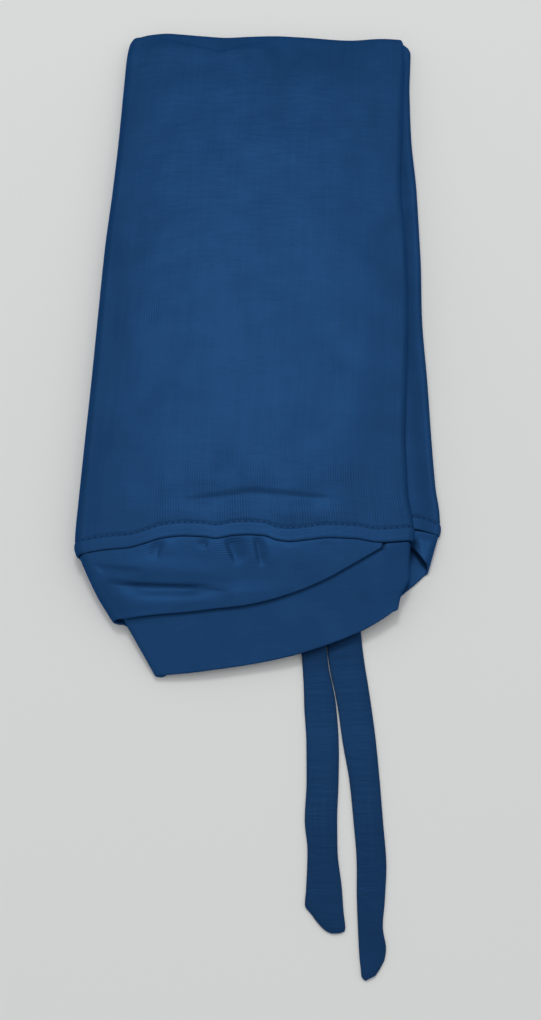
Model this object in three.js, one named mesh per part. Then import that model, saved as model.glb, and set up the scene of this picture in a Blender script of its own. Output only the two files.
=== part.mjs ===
// Criss-cross underscarf cap of viscose jersey, lying flat and folded in half lengthwise.
// Millimetres, +Z up. The mouth with its two crossed front bands is towards -Y, the closed crown is
// towards +Y, and the long left edge is the fold at the middle of the forehead. From the floor up the
// layers are: front panel (lower half), back panel (lower half), back panel (upper half), front panel
// (upper half). Two flat ties leave the back panel's hem between the halves and lie out towards -Y.
import * as THREE from "three";

// Cloth.
const cloth = 1.0; // one layer of jersey, with its loft
const apart = 0.3; // clearance between pieces that are sewn to one another
const hemNominal = -54; // y of the hem before its waves
const crownNominal = 208; // y of the closed end before its waves
const bodyLength = crownNominal - hemNominal;

// Smooth curve through the rows of a table: monotone cubic, flat beyond both ends.
function curve(rows, by, column) {
  const x = rows.map((r) => r[by]);
  const y = rows.map((r) => r[column]);
  const n = x.length;
  const slope = [];
  for (let i = 0; i < n - 1; i++) slope.push((y[i + 1] - y[i]) / (x[i + 1] - x[i]));
  const tangent = x.map((_, i) => {
    if (i === 0) return slope[0];
    if (i === n - 1) return slope[n - 2];
    if (slope[i - 1] * slope[i] <= 0) return 0;
    return (2 * slope[i - 1] * slope[i]) / (slope[i - 1] + slope[i]);
  });
  return (at) => {
    if (at <= x[0]) return y[0];
    if (at >= x[n - 1]) return y[n - 1];
    let i = 0;
    while (at > x[i + 1]) i++;
    const w = x[i + 1] - x[i];
    const t = (at - x[i]) / w;
    const h = 1 - t;
    return (
      y[i] * h * h * (1 + 2 * t) + y[i + 1] * t * t * (3 - 2 * t) +
      w * (tangent[i] * t * h * h - tangent[i + 1] * t * t * h)
    );
  };
}
const mix = (a, b, t) => a + (b - a) * t;
const ease = (t) => {
  const c = Math.min(1, Math.max(0, t));
  return c * c * (3 - 2 * c);
};

// Outline of the folded tube.
// left: outer fold. top: side fold of the upper half. low: side fold of the lower half, which peeks out.
const outline = [
  { y: -54, left: -68.3, top: 57.9, low: 68.7 },
  { y: -50, left: -69.4, top: 58.7, low: 69.4 },
  { y: -44, left: -69.6, top: 58.3, low: 69.4 },
  { y: -32, left: -69.3, top: 57.0, low: 68.5 },
  { y: -10, left: -68.6, top: 57.1, low: 68.1 },
  { y: 20, left: -67.6, top: 59.0, low: 67.9 },
  { y: 50, left: -66.9, top: 60.9, low: 67.3 },
  { y: 85, left: -66.0, top: 61.8, low: 68.3 },
  { y: 120, left: -64.2, top: 61.0, low: 68.4 },
  { y: 150, left: -63.1, top: 62.8, low: 67.5 },
  { y: 178, left: -62.5, top: 64.8, low: 68.0 },
  { y: 196, left: -62.1, top: 66.2, low: 69.2 },
  { y: 203, left: -61.5, top: 66.3, low: 69.6 },
  { y: 206, left: -60.9, top: 66.1, low: 68.8 },
  { y: 208, left: -60.1, top: 65.8, low: 67.4 },
];
const leftAt = curve(outline, "y", "left");
const topRightAt = curve(outline, "y", "top");
const lowRightAt = curve(outline, "y", "low");

// Hem of each layer, counted from the floor: 1 and 4 are the front panel, 2 and 3 the back panel.
const hemTop = [
  { x: -67, hem: -59.4 }, { x: -61.7, hem: -58.4 }, { x: -55, hem: -57.8 }, { x: -48.8, hem: -57.5 },
  { x: -42.7, hem: -55.9 }, { x: -36.2, hem: -53.8 }, { x: -28.6, hem: -53.0 }, { x: -20.9, hem: -53.4 },
  { x: -16.1, hem: -54.1 }, { x: -9.4, hem: -52.8 }, { x: -3.7, hem: -52.6 }, { x: 2, hem: -53.0 },
  { x: 6.8, hem: -54.8 }, { x: 11.5, hem: -55.4 }, { x: 17.2, hem: -54.8 }, { x: 25.9, hem: -53.7 },
  { x: 35.4, hem: -53.9 }, { x: 44.9, hem: -55.2 }, { x: 50.7, hem: -54.8 }, { x: 57, hem: -54.0 },
];
const hemHidden = [
  { x: -67, low: -59.4, lowBack: -56.5, topBack: -56.5 },
  { x: -60, low: -56.5, lowBack: -56.5, topBack: -56.5 },
  { x: -40, low: -50.5, lowBack: -49.0, topBack: -50.0 },
  { x: 0, low: -48.0, lowBack: -47.0, topBack: -47.2 },
  { x: 44, low: -46.8, lowBack: -46.3, topBack: -48.0 },
  { x: 57, low: -46.4, lowBack: -46.2, topBack: -54.0 },
  { x: 66, low: -48.2, lowBack: -47.8, topBack: -54.0 },
  { x: 69, low: -50.0, lowBack: -50.0, topBack: -54.0 },
];
const hem = {
  4: curve(hemTop, "x", "hem"),
  3: curve(hemHidden, "x", "topBack"),
  2: curve(hemHidden, "x", "lowBack"),
  1: curve(hemHidden, "x", "low"),
};
// How far the closed end stands beyond its nominal line.
const crownWave = curve(
  [
    { x: -60, out: 1.0 }, { x: -50.8, out: 4.0 }, { x: -43.8, out: 4.8 }, { x: -37, out: 4.2 },
    { x: -27.5, out: 3.1 }, { x: -15.7, out: 2.1 }, { x: -6, out: 2.7 }, { x: 5.7, out: 3.1 },
    { x: 19, out: 2.3 }, { x: 41.7, out: 0.3 }, { x: 56, out: 1.4 }, { x: 66.4, out: 0.7 },
  ],
  "x", "out",
);
const hemWaveEnds = 72; // the hem's waves die out this far up the tube
const hemWaveLength = 64;
const crownWaveStarts = 195;
const crownWaveLength = 55;
function layerY(layer, x, s) {
  const hemWave = (hem[layer](x) - hemNominal) * ease((hemWaveEnds - s) / hemWaveLength);
  return hemNominal + s + hemWave + crownWave(x) * ease((s - crownWaveStarts) / crownWaveLength);
}

// Heights of the layers.
// Air between the two layers of a half: in the middle of the upper one, at its forehead fold and its side
// fold, and in the lower one.
const rise = [
  { s: 0, room: 5.6, forehead: 2.8, side: 4.0, low: 1.2 },
  { s: 30, room: 6.0, forehead: 3.0, side: 4.2, low: 1.2 },
  { s: 90, room: 6.0, forehead: 3.0, side: 4.2, low: 1.2 },
  { s: 170, room: 5.6, forehead: 2.8, side: 3.8, low: 1.1 },
  { s: 220, room: 4.6, forehead: 2.3, side: 3.0, low: 0.9 },
  { s: 245, room: 2.6, forehead: 1.4, side: 1.7, low: 0.6 },
  { s: 257, room: 1.1, forehead: 0.7, side: 0.8, low: 0.4 },
  { s: 262, room: 0.4, forehead: 0.35, side: 0.35, low: 0.3 },
];
const roomAt = curve(rise, "s", "room");
const foreheadRoomAt = curve(rise, "s", "forehead");
const sideRoomAt = curve(rise, "s", "side");
const lowRoomAt = curve(rise, "s", "low");
const betweenHalves = 0.5;
const domePower = 2.8; // 2 is a round dome, more is flatter in the middle
const dentsFrom = 12; // the dents fade out this far from the hem and from the closed end
const sideFall = 0.75; // share of the lower half's room that is lost towards its side fold
const sideFallWidth = 7;
const z1 = cloth / 2;
const z2 = (s) => z1 + cloth + lowRoomAt(s);
const z2Beside = (s, fromFold) => z2(s) - sideFall * lowRoomAt(s) * ease(1 - fromFold / sideFallWidth);
const z3 = (s) => z2(s) + cloth + betweenHalves;

// Folds (high above zero) and dents (below zero). Each runs from (x1, y1) to (x2, y2).
const bodyFolds = [
  { x1: -42, y1: -44, x2: 30, y2: -43, wide: 5, high: 0.3 }, // swell over the gathered band
  { x1: -27, y1: -38, x2: 0, y2: -34.2, wide: 2.6, high: -0.4 }, // the soft arched crease above it
  { x1: -6, y1: -34.2, x2: 26, y2: -37.3, wide: 2.6, high: -0.4 },
  { x1: -42, y1: -30, x2: 30, y2: -29, wide: 5, high: 0.2 },
  { x1: -42, y1: 206, x2: -25, y2: 198, wide: 3, high: 0.7 }, // folds in front of the closed end
  { x1: -17, y1: 197.5, x2: -2, y2: 204, wide: 3, high: 0.7 },
  { x1: -60, y1: 150, x2: -20, y2: 190, wide: 9, high: 0.3 },
  { x1: 30, y1: -44, x2: 50, y2: 60, wide: 9, high: 0.3 }, // long soft swell beside the side fold
];
const bandFolds = [
  { x1: -54, y1: -65.5, x2: -12, y2: -69, wide: 3.6, high: 0.4 }, // crest above the long fold
  { x1: -53, y1: -71.5, x2: -14, y2: -74.4, wide: 1.8, high: -0.55 }, // its groove
  { x1: -40, y1: -77.5, x2: 12, y2: -74, wide: 4, high: 0.45 }, // swell below it
  { x1: -62, y1: -64.4, x2: -44, y2: -67.2, wide: 1.6, high: -0.35 },
  { x1: -37, y1: -53, x2: -38, y2: -65, wide: 1.9, high: -0.4 }, // gathers under the hem
  { x1: -17, y1: -53, x2: -17, y2: -64, wide: 1.6, high: -0.4 },
  { x1: -11, y1: -53, x2: -8, y2: -67, wide: 1.9, high: -0.4 },
  { x1: -1, y1: -53, x2: 0, y2: -68, wide: 1.8, high: -0.4 },
  { x1: 11, y1: -55, x2: 14, y2: -66, wide: 3.0, high: 0.3 },
];
function relief(list, x, y) {
  let z = 0;
  for (const f of list) {
    const ax = f.x2 - f.x1;
    const ay = f.y2 - f.y1;
    const length = Math.hypot(ax, ay);
    const along = ((x - f.x1) * ax + (y - f.y1) * ay) / length ** 2;
    const across = ((x - f.x1) * ay - (y - f.y1) * ax) / length;
    z += f.high * Math.exp(-(((along - 0.5) / 0.5) ** 4) - (across / f.wide) ** 2);
  }
  return z;
}
// The upper half's front panel: low at both folds, full across its middle.
function z4(s, f, x, y) {
  const full = 1 - Math.abs(2 * f - 1) ** domePower;
  const fromEnds = ease(s / dentsFrom) * ease((bodyLength - s) / dentsFrom);
  const dents = relief(bodyFolds, x, y) * fromEnds;
  const atFolds = mix(foreheadRoomAt(s), sideRoomAt(s), f);
  return z3(s) + cloth + mix(atFolds, roomAt(s), full) + dents;
}

// Turning sections into closed solids.
function meshOf(name, points, faces, material) {
  const at = (i) => points[i];
  let volume = 0;
  for (const [a, b, c] of faces) volume += at(a).dot(at(b).clone().cross(at(c)));
  const outward = volume < 0 ? faces.map(([a, b, c]) => [a, c, b]) : faces;
  const geometry = new THREE.BufferGeometry().setFromPoints(points).setIndex(outward.flat());
  geometry.computeVertexNormals();
  const mesh = new THREE.Mesh(geometry, material);
  mesh.name = name;
  return mesh;
}
const quad = (a, b, c, d) => [[a, b, c], [a, c, d]];
// Triangles that close the C-shaped ring of the folded tube, facing +Y or -Y. They run as a strip between
// the front panel's side of the ring and the back panel's, from the middle of one side fold to the other.
function capFaces(ring, first, topMiddle, lowMiddle, towardsPlusY) {
  const n = ring.length;
  const frontSide = [];
  const backSide = [];
  for (let i = topMiddle; i !== lowMiddle; i = (i + 1) % n) frontSide.push(i);
  for (let i = topMiddle; i !== lowMiddle; i = (i + n - 1) % n) backSide.push(i);
  frontSide.push(lowMiddle);
  backSide.push(lowMiddle);
  const faces = [];
  let i = 0;
  let j = 0;
  while (i < frontSide.length - 1 || j < backSide.length - 1) {
    const a = frontSide[i];
    const b = backSide[j];
    const nextA = frontSide[i + 1];
    const nextB = backSide[j + 1];
    const frontReach = nextA === undefined ? Infinity : ring[nextA].distanceTo(ring[b]);
    const backReach = nextB === undefined ? Infinity : ring[nextB].distanceTo(ring[a]);
    const stepFront = frontReach <= backReach;
    const next = stepFront ? nextA : nextB;
    if (stepFront) i++;
    else j++;
    if (new Set([a, b, next]).size === 3) faces.push(towardsPlusY ? [a, b, next] : [a, next, b]);
  }
  return faces.map((f) => f.map((k) => first + k));
}
const jersey = (colour) => new THREE.MeshStandardMaterial({ color: colour, roughness: 0.86, metalness: 0 });

// The tube: one closed ring per row.
const outerFoldReach = 3.3; // how far each fold runs out beyond the flat part of its layers
const innerFoldReach = 0.9;
const innerFoldIn = 4.6; // the back panel's fold lies this far inside the front panel's
const topFoldReach = 1.7;
const lowFoldReach = 1.2;
const steps = (count) => Array.from({ length: count }, (_, i) => i / (count - 1));
const arc = (count) => Array.from({ length: count }, (_, i) => (Math.PI * (i + 1)) / (count + 1));

const columns = {
  layer4: 22, outerFold: 9, layer1: 10, lowFold: 5, layer2: 9, innerFold: 5, layer3: 9, topFold: 5,
};
const foldMiddles = {
  low: columns.layer4 + columns.outerFold + columns.layer1 + (columns.lowFold - 1) / 2,
  top: Object.values(columns).reduce((sum, count) => sum + count, 0) - (columns.topFold + 1) / 2,
};
const crowdAtSide = 1.8; // over 1: the hidden layer's columns crowd towards the side fold

function tubeRing(s, offset) {
  const yNominal = hemNominal + s;
  const left = leftAt(yNominal) + cloth / 2;
  const topRight = topRightAt(yNominal) - cloth / 2;
  const lowRight = lowRightAt(yNominal) - cloth / 2;
  const inner = left + innerFoldIn;
  const ring = [];
  const put = (layer, x, z) => ring.push(new THREE.Vector3(x, layerY(layer, x, s), z));
  const leaf = (layer, x0, x1, count, height, crowd = 1) =>
    steps(count).forEach((t) => {
      const f = t ** crowd;
      const x = mix(x0, x1, f);
      put(layer, x, height(f, x));
    });
  // A fold joins two layers at one side: it turns from height zA to height zB round the line x = centre.
  const fold = (layerA, layerB, centre, reach, side, zA, zB, count) =>
    arc(count).forEach((angle) => {
      const x = centre + side * reach * Math.sin(angle);
      const y = mix(layerY(layerA, centre, s), layerY(layerB, centre, s), (1 - Math.cos(angle)) / 2);
      ring.push(new THREE.Vector3(x, y, mix(zA, zB, (1 - Math.cos(angle)) / 2)));
    });
  const topHeight = (f, x) => z4(s, f, x, layerY(4, x, s));
  const l4 = left + outerFoldReach;
  const r4 = topRight - topFoldReach;
  const r1 = lowRight - lowFoldReach;
  leaf(4, r4, l4, columns.layer4, (f, x) => topHeight(1 - f, x));
  fold(4, 1, l4, outerFoldReach, -1, topHeight(0, l4), z1, columns.outerFold);
  leaf(1, l4, r1, columns.layer1, () => z1);
  fold(1, 2, r1, lowFoldReach, 1, z1, z2Beside(s, 0), columns.lowFold);
  leaf(2, r1, inner + innerFoldReach, columns.layer2, (f, x) => z2Beside(s, r1 - x), crowdAtSide);
  fold(2, 3, inner + innerFoldReach, innerFoldReach, -1, z2(s), z3(s), columns.innerFold);
  leaf(3, inner + innerFoldReach, r4, columns.layer3, () => z3(s));
  fold(3, 4, r4, topFoldReach, 1, z3(s), topHeight(1, r4), columns.topFold);
  const n = ring.length;
  return ring.map((p, i) => {
    const before = ring[(i + n - 1) % n];
    const after = ring[(i + 1) % n];
    const dx = after.x - before.x;
    const dz = after.z - before.z;
    const length = Math.hypot(dx, dz);
    const z = p.z - (offset * dx) / length;
    const onFloor = Math.max(0, z); // flat where it lies on the floor
    return new THREE.Vector3(p.x + (offset * dz) / length, p.y, onFloor);
  });
}

const hemDepth = 5.7; // the hem is turned in and stitched this far from its edge
const hemProud = 0.2; // the doubled hem stands this much above the panel
const outerRows = [
  0, 3, 5.4, 6.2, 9, 13, 17, 21, 26, 33, 48, 70, 100, 132, 164, 192, 214, 232, 244, 251, 256, 259.5, 262,
];
const closedBy = 4; // cloth left solid at the crown seam
const edgeRound = 2.5; // the outside narrows over this length to the closed end
const innerRows = outerRows.filter((s) => s < bodyLength - closedBy - 1).concat(bodyLength - closedBy);

function capBody() {
  const points = [];
  const faces = [];
  const outerRings = outerRows.map((s) => {
    const half = mix(cloth / 4, cloth / 2, ease((bodyLength - s) / edgeRound));
    return tubeRing(s, half + (s < hemDepth ? hemProud : 0));
  });
  const innerRings = innerRows.map((s) => tubeRing(s, -cloth / 2));
  const n = outerRings[0].length;
  for (const ring of [...outerRings, ...innerRings]) points.push(...ring);
  const outer = (r, c) => r * n + (c % n);
  const inner = (r, c) => (outerRows.length + r) * n + (c % n);
  for (let c = 0; c < n; c++) {
    for (let r = 0; r < outerRows.length - 1; r++)
      faces.push(...quad(outer(r, c), outer(r + 1, c), outer(r + 1, c + 1), outer(r, c + 1)));
    for (let r = 0; r < innerRows.length - 1; r++)
      faces.push(...quad(inner(r, c), inner(r, c + 1), inner(r + 1, c + 1), inner(r + 1, c)));
    faces.push(...quad(outer(0, c), outer(0, c + 1), inner(0, c + 1), inner(0, c)));
  }
  const { top, low } = foldMiddles;
  faces.push(...capFaces(outerRings.at(-1), outer(outerRows.length - 1, 0), top, low, true));
  faces.push(...capFaces(innerRings.at(-1), inner(innerRows.length - 1, 0), top, low, false));
  return meshOf("cap_body", points, faces, jersey(0x1f4877));
}

// The crossed front bands.
// Height of the cloth that hangs out of the upper hem. It falls with the distance from the hem, and more
// beside its own fold.
const fallPerMm = 0.12;
const belowHemTop = 0.35; // the band's seam lies this far under the hem's face
const foldFall = 1.5;
const foldFallWidth = 9;
const foldFallFrom = 20; // distance from the hem at which the fold has its whole fall
const gatherFrom = 3; // the gathers and folds begin within this distance of the hem
const overFoldLine = curve(
  [
    { y: -86, x: -51.6 }, { y: -84.2, x: -53.7 }, { y: -80.5, x: -56.1 }, { y: -75.6, x: -59.2 },
    { y: -67.5, x: -63.4 }, { y: -58.5, x: -67.5 },
  ],
  "y", "x",
);
const underFoldLine = curve(
  [{ y: -105.4, x: -37.0 }, { y: -97.2, x: -42.4 }, { y: -87.6, x: -49.2 }, { y: -58.5, x: -64.6 }],
  "y", "x",
);
function drapeBase(x, y) {
  const left = leftAt(hemNominal) + cloth / 2 + outerFoldReach;
  const right = topRightAt(hemNominal) - cloth / 2 - topFoldReach;
  const f = Math.min(1, Math.max(0, (x - left) / (right - left)));
  const below = Math.max(0, hem[4](x) - y);
  const atHem = z4(0, f, x, hemNominal) - belowHemTop;
  const fromFold = Math.max(0, x - overFoldLine(y));
  const besideFold = foldFall * ease(below / foldFallFrom) * Math.exp(-fromFold / foldFallWidth);
  return atHem - fallPerMm * below - besideFold;
}
const drape = (x, y) => drapeBase(x, y) + relief(bandFolds, x, y) * ease((hem[4](x) - y) / gatherFrom);
const underBelow = cloth + 0.38; // the inner band lies this far under the outer one

// A band is a strip of cloth whose rows run from the hem to its free edge. `legs` lists its stretches in
// order: flat legs and the folds between them. Each gives the point at (f along the leg, d from the hem).
function bandMesh(name, rows, legs, colour) {
  const grid = steps(rows).map((d) => legs.flatMap((leg) => leg.at.map((f) => leg.point(f, d))));
  const nr = grid.length;
  const nc = grid[0].length;
  const front = [];
  const back = [];
  grid.forEach((row, r) =>
    row.forEach((p, c) => {
      const du = row[Math.min(nc - 1, c + 1)].clone().sub(row[Math.max(0, c - 1)]);
      const dv = grid[Math.min(nr - 1, r + 1)][c].clone().sub(grid[Math.max(0, r - 1)][c]);
      const normal = du.cross(dv).normalize().multiplyScalar(cloth / 2);
      front.push(p.clone().add(normal));
      back.push(p.clone().sub(normal));
    }),
  );
  const a = (r, c) => r * nc + c;
  const b = (r, c) => nr * nc + r * nc + c;
  const faces = [];
  for (let r = 0; r < nr - 1; r++)
    for (let c = 0; c < nc - 1; c++) {
      faces.push(...quad(a(r, c), a(r, c + 1), a(r + 1, c + 1), a(r + 1, c)));
      faces.push(...quad(b(r, c), b(r + 1, c), b(r + 1, c + 1), b(r, c + 1)));
    }
  for (let c = 0; c < nc - 1; c++) {
    faces.push(...quad(a(0, c), b(0, c), b(0, c + 1), a(0, c + 1)));
    faces.push(...quad(a(nr - 1, c), a(nr - 1, c + 1), b(nr - 1, c + 1), b(nr - 1, c)));
  }
  for (let r = 0; r < nr - 1; r++) {
    faces.push(...quad(a(r, 0), a(r + 1, 0), b(r + 1, 0), b(r, 0)));
    faces.push(...quad(a(r, nc - 1), b(r, nc - 1), b(r + 1, nc - 1), a(r + 1, nc - 1)));
  }
  return meshOf(name, [...front, ...back], faces, jersey(colour));
}
// A flat leg between the hem (x from hemX[0] to hemX[1]) and the free edge (x from edgeX[0] to edgeX[1]).
function flatLeg(count, hemX, edgeX, hemY, edgeY, height) {
  return {
    at: steps(count),
    point: (f, d) => {
      const xh = mix(hemX[0], hemX[1], f);
      const xe = mix(edgeX[0], edgeX[1], f);
      const x = mix(xh, xe, d);
      const y = mix(hemY(xh), edgeY(xe), d);
      return new THREE.Vector3(x, y, height(x, y));
    },
  };
}
// A fold from the end of one leg to the start of the next, bulging by `reach` to one side.
function foldBetween(count, legA, fA, legB, fB, side, reach) {
  return {
    at: arc(count),
    point: (angle, d) => {
      const turn = (1 - Math.cos(angle)) / 2;
      const p = legA.point(fA, d).lerp(legB.point(fB, d), turn);
      p.x += side * reach * Math.sin(angle);
      return p;
    },
  };
}
// The same leg with its side at f = `end` moved onto the line x = sideX(y), and the third of the leg beside
// it moved along.
function alongSide(leg, end, sideX, height) {
  return {
    at: leg.at,
    point: (f, d) => {
      const p = leg.point(f, d);
      const side = leg.point(end, d);
      p.x += (sideX(side.y) - side.x) * ease(1 - 3 * Math.abs(end - f));
      p.z = height(p.x, p.y);
      return p;
    },
  };
}

const overEdgeTop = curve(
  [
    { x: -49.6, y: -84.3 }, { x: -46, y: -84.1 }, { x: -42.7, y: -83.7 }, { x: -35.2, y: -83.0 },
    { x: -27.8, y: -82.5 }, { x: -16.6, y: -81.3 }, { x: -5.4, y: -79.9 }, { x: 6.7, y: -77.2 },
    { x: 16.1, y: -73.9 }, { x: 25.6, y: -69.4 }, { x: 35.2, y: -63.8 }, { x: 41.9, y: -59.7 },
    { x: 46.2, y: -57.0 },
  ],
  "x", "y",
);
const overEdgeLow = curve(
  [
    { x: -49.6, y: -85.5 }, { x: -46, y: -87.1 }, { x: -40, y: -91.8 }, { x: -30, y: -97.4 },
    { x: 0, y: -97.0 }, { x: 20, y: -91.5 }, { x: 38, y: -83.5 }, { x: 50, y: -75.6 }, { x: 57.3, y: -69.4 },
    { x: 61.2, y: -65.9 }, { x: 62.8, y: -63.9 },
  ],
  "x", "y",
);
const overEdgeWrap = curve([{ x: 52.5, y: -49.6 }, { x: 58.1, y: -54.2 }, { x: 62.6, y: -60.9 }], "x", "y");
const underEdgeTop = curve(
  [
    { x: -34.2, y: -105.1 }, { x: -25.5, y: -104.5 }, { x: -7.1, y: -102.1 }, { x: 11.3, y: -98.5 },
    { x: 22, y: -95.2 }, { x: 37.4, y: -88.9 }, { x: 45, y: -84.5 }, { x: 50.0, y: -80.9 },
  ],
  "x", "y",
);
const underEdgeLow = curve(
  [
    { x: -34.2, y: -105.3 }, { x: -20, y: -96 }, { x: 0, y: -87 }, { x: 20, y: -75 }, { x: 36, y: -63 },
    { x: 44, y: -56 },
  ],
  "x", "y",
);
const underSideLine = curve(
  [
    { y: -81.2, x: 51.3 }, { y: -74.5, x: 53.0 }, { y: -72.4, x: 54.2 }, { y: -66.9, x: 56.4 },
    { y: -62.7, x: 56.4 }, { y: -55, x: 57.0 },
  ],
  "y", "x",
);

// The outer band: from its upper end at the hem over the front, round its fold at the forehead, back on
// the floor, and round the lower half's side fold.
function frontBandOver() {
  const reach = 2.9;
  const sideReach = 1.1;
  const hemFoldX = leftAt(-58) + cloth / 2 + outerFoldReach + 0.6;
  const edgeFoldX = overFoldLine(-84.9) + cloth / 2 + reach;
  const end = { hem: 46.6, edge: 46.2 };
  const side = { hem: 66.6, edge: 62.3 };
  const wrapEnd = 52.5;
  const besideFold = (y) => overFoldLine(y) + cloth / 2 + reach;
  const onFloor = () => z1;
  const upperHemY = (x) => hem[4](x) - 1.4 * apart;
  const lowerHemY = (x) => hem[1](x) - 3 * apart;
  // What wraps round the lower half's side fold puffs up a little beside the inner band.
  const wrapLow = 2.6;
  const puff = { high: 1.5, fromX: 57, over: 5, fromHem: 6 };
  const wrapPuff = (x, y) =>
    puff.high * ease((x - puff.fromX) / puff.over) * ease((hem[2](x) - y) / puff.fromHem);
  const upper = alongSide(
    flatLeg(26, [end.hem, hemFoldX], [end.edge, edgeFoldX], upperHemY, overEdgeTop, drape),
    1, besideFold, drape,
  );
  const lower = alongSide(
    flatLeg(14, [hemFoldX, side.hem], [edgeFoldX, side.edge], lowerHemY, overEdgeLow, onFloor),
    0, besideFold, onFloor,
  );
  const wrap = flatLeg(
    6, [side.hem, wrapEnd], [side.edge, wrapEnd], (x) => hem[2](x) - 1.5 * apart, overEdgeWrap,
    (x, y) => wrapLow + wrapPuff(x, y),
  );
  const foreheadFold = foldBetween(7, upper, 1, lower, 0, -1, reach);
  const sideFold = foldBetween(5, lower, 1, wrap, 0, 1, sideReach);
  return bandMesh("front_band_over", 12, [upper, foreheadFold, lower, sideFold, wrap], 0x1c4372);
}

// The inner band: from its end under the upper side fold round that fold, over the front beneath the outer
// band, round its own fold, and back under itself.
function frontBandUnder() {
  const reach = 2.3;
  const sideReach = 1.1;
  const edgeSlant = 0.75; // the free edge runs on round the side fold at this slant
  const hemFoldX = underFoldLine(-58.5) + cloth / 2 + reach;
  const edgeFoldX = underFoldLine(-105.4) + cloth / 2 + reach - 0.2;
  const side = { hem: 55.3, edge: 49.7 };
  const lowEnd = { hem: 44.5, edge: 44 };
  // Back under itself it lies on the outer band, and beyond that band's edge almost on the floor.
  const low = { onFloor: 0.75, onBand: 1.9, beforeEdge: 9, over: 4 };
  const lowHeight = (x, y) =>
    mix(low.onFloor, low.onBand, ease((y - overEdgeLow(x) + low.beforeEdge) / low.over));
  const lowHemLimit = -51.5;
  const besideSide = (y) => underSideLine(y) - cloth / 2 - sideReach;
  // It sinks a little beside its own fold, towards its free edge.
  const sink = { depth: 0.3, width: 7, fromY: -70, over: 20 };
  const ownFold = (x, y) => {
    const fromFold = Math.max(0, x - underFoldLine(y));
    return sink.depth * Math.exp(-fromFold / sink.width) * ease((sink.fromY - y) / sink.over);
  };
  // The outer band presses it down where it covers it.
  const press = { depth: 0.6, inside: 6, untilX: 50, over: 5 };
  const covered = (x, y) =>
    press.depth * ease((y - overEdgeTop(x)) / press.inside) * ease((press.untilX - x) / press.over);
  // And it rises to the hem where nothing covers it.
  const free = { fromX: 47.5, over: 3.5, fromHem: 10 };
  const uncovered = (x, y) => ease((x - free.fromX) / free.over) * ease(1 - (hem[4](x) - y) / free.fromHem);
  const pressed = (x, y) => underBelow + ownFold(x, y) + covered(x, y) - uncovered(x, y);
  const height = (x, y) => drapeBase(x, y) - pressed(x, y);
  const upperHemY = (x) => hem[4](x) - apart;
  const upper = alongSide(
    flatLeg(20, [side.hem, hemFoldX], [side.edge, edgeFoldX], upperHemY, underEdgeTop, height),
    0, besideSide, height,
  );
  const lowHemY = (x) => Math.min(lowHemLimit, hem[1](x) - apart);
  const lower = flatLeg(
    10, [hemFoldX, lowEnd.hem], [edgeFoldX, lowEnd.edge], lowHemY, underEdgeLow, lowHeight,
  );
  // The end that wraps under the upper side fold: its length and the rise of its rows, at hem and edge.
  const wrapHeight = 4.3;
  const wrapLength = [10, 3];
  const wrapRise = [0.02, 1.4];
  const wrap = {
    at: steps(4),
    point: (f, d) => {
      const start = upper.point(0, d);
      const run = mix(...wrapLength, d) * (1 - f); // f = 1 at the side fold
      const up = 2 * edgeSlant * sideReach * d + run * mix(...wrapRise, d);
      return new THREE.Vector3(start.x - run, start.y + up, wrapHeight);
    },
  };
  const sideFold = foldBetween(5, wrap, 1, upper, 0, 1, sideReach);
  const ownTurn = foldBetween(7, upper, 1, lower, 0, -1, reach);
  return bandMesh("front_band_under", 9, [wrap, sideFold, upper, ownTurn, lower], 0x1b3f6b);
}

// The two ties.
// One row for each section: both edges of the string, the height of its middle and how full it is there.
const tieThick = 1.1;
const tieProfile = [
  [-1, 0], [-0.95, 0.66], [-0.8, 1], [0, 1], [0.8, 1], [0.95, 0.66], [1, 0], [0.95, -0.66], [0.8, -1],
  [0, -1], [-0.8, -1], [-0.95, -0.66],
];
const tieLeftRows = [
  { lx: 13.6, ly: -47.9, rx: 24.0, ry: -47.9, z: 4.1, full: 1 },
  { lx: 13.8, ly: -53, rx: 24.1, ry: -53, z: 3.6, full: 1 },
  { lx: 14.4, ly: -70, rx: 24.3, ry: -70, z: 3.15, full: 1 },
  { lx: 15.1, ly: -84, rx: 24.6, ry: -84, z: 3.0, full: 1 },
  { lx: 15.6, ly: -94, rx: 24.9, ry: -93.5, z: 1.65, full: 1 },
  { lx: 16.1, ly: -102, rx: 25.6, ry: -101.5, z: 0.7, full: 1 },
  { lx: 16.4, ly: -109, rx: 26.9, ry: -108.6, z: 0.55, full: 1 },
  { lx: 16.5, ly: -116, rx: 27.9, ry: -115.6, z: 0.55, full: 1 },
  { lx: 17.1, ly: -130, rx: 28.6, ry: -130, z: 0.55, full: 1 },
  { lx: 17.0, ly: -144, rx: 28.2, ry: -144, z: 0.55, full: 1 },
  { lx: 16.2, ly: -158, rx: 27.4, ry: -158, z: 0.55, full: 1 },
  { lx: 17.0, ly: -168, rx: 27.3, ry: -168, z: 0.55, full: 1 },
  { lx: 16.4, ly: -181, rx: 28.5, ry: -181.5, z: 0.55, full: 1 },
  { lx: 15.9, ly: -186.6, rx: 28.8, ry: -188, z: 0.55, full: 1 },
  { lx: 18.1, ly: -189.7, rx: 29.1, ry: -191.2, z: 0.55, full: 1 },
  { lx: 20.7, ly: -193.1, rx: 29.3, ry: -193.9, z: 0.55, full: 0.97 },
  { lx: 23.0, ly: -195.2, rx: 29.0, ry: -195.2, z: 0.53, full: 0.85 },
  { lx: 24.6, ly: -195.9, rx: 27.4, ry: -195.8, z: 0.5, full: 0.6 },
];
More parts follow.
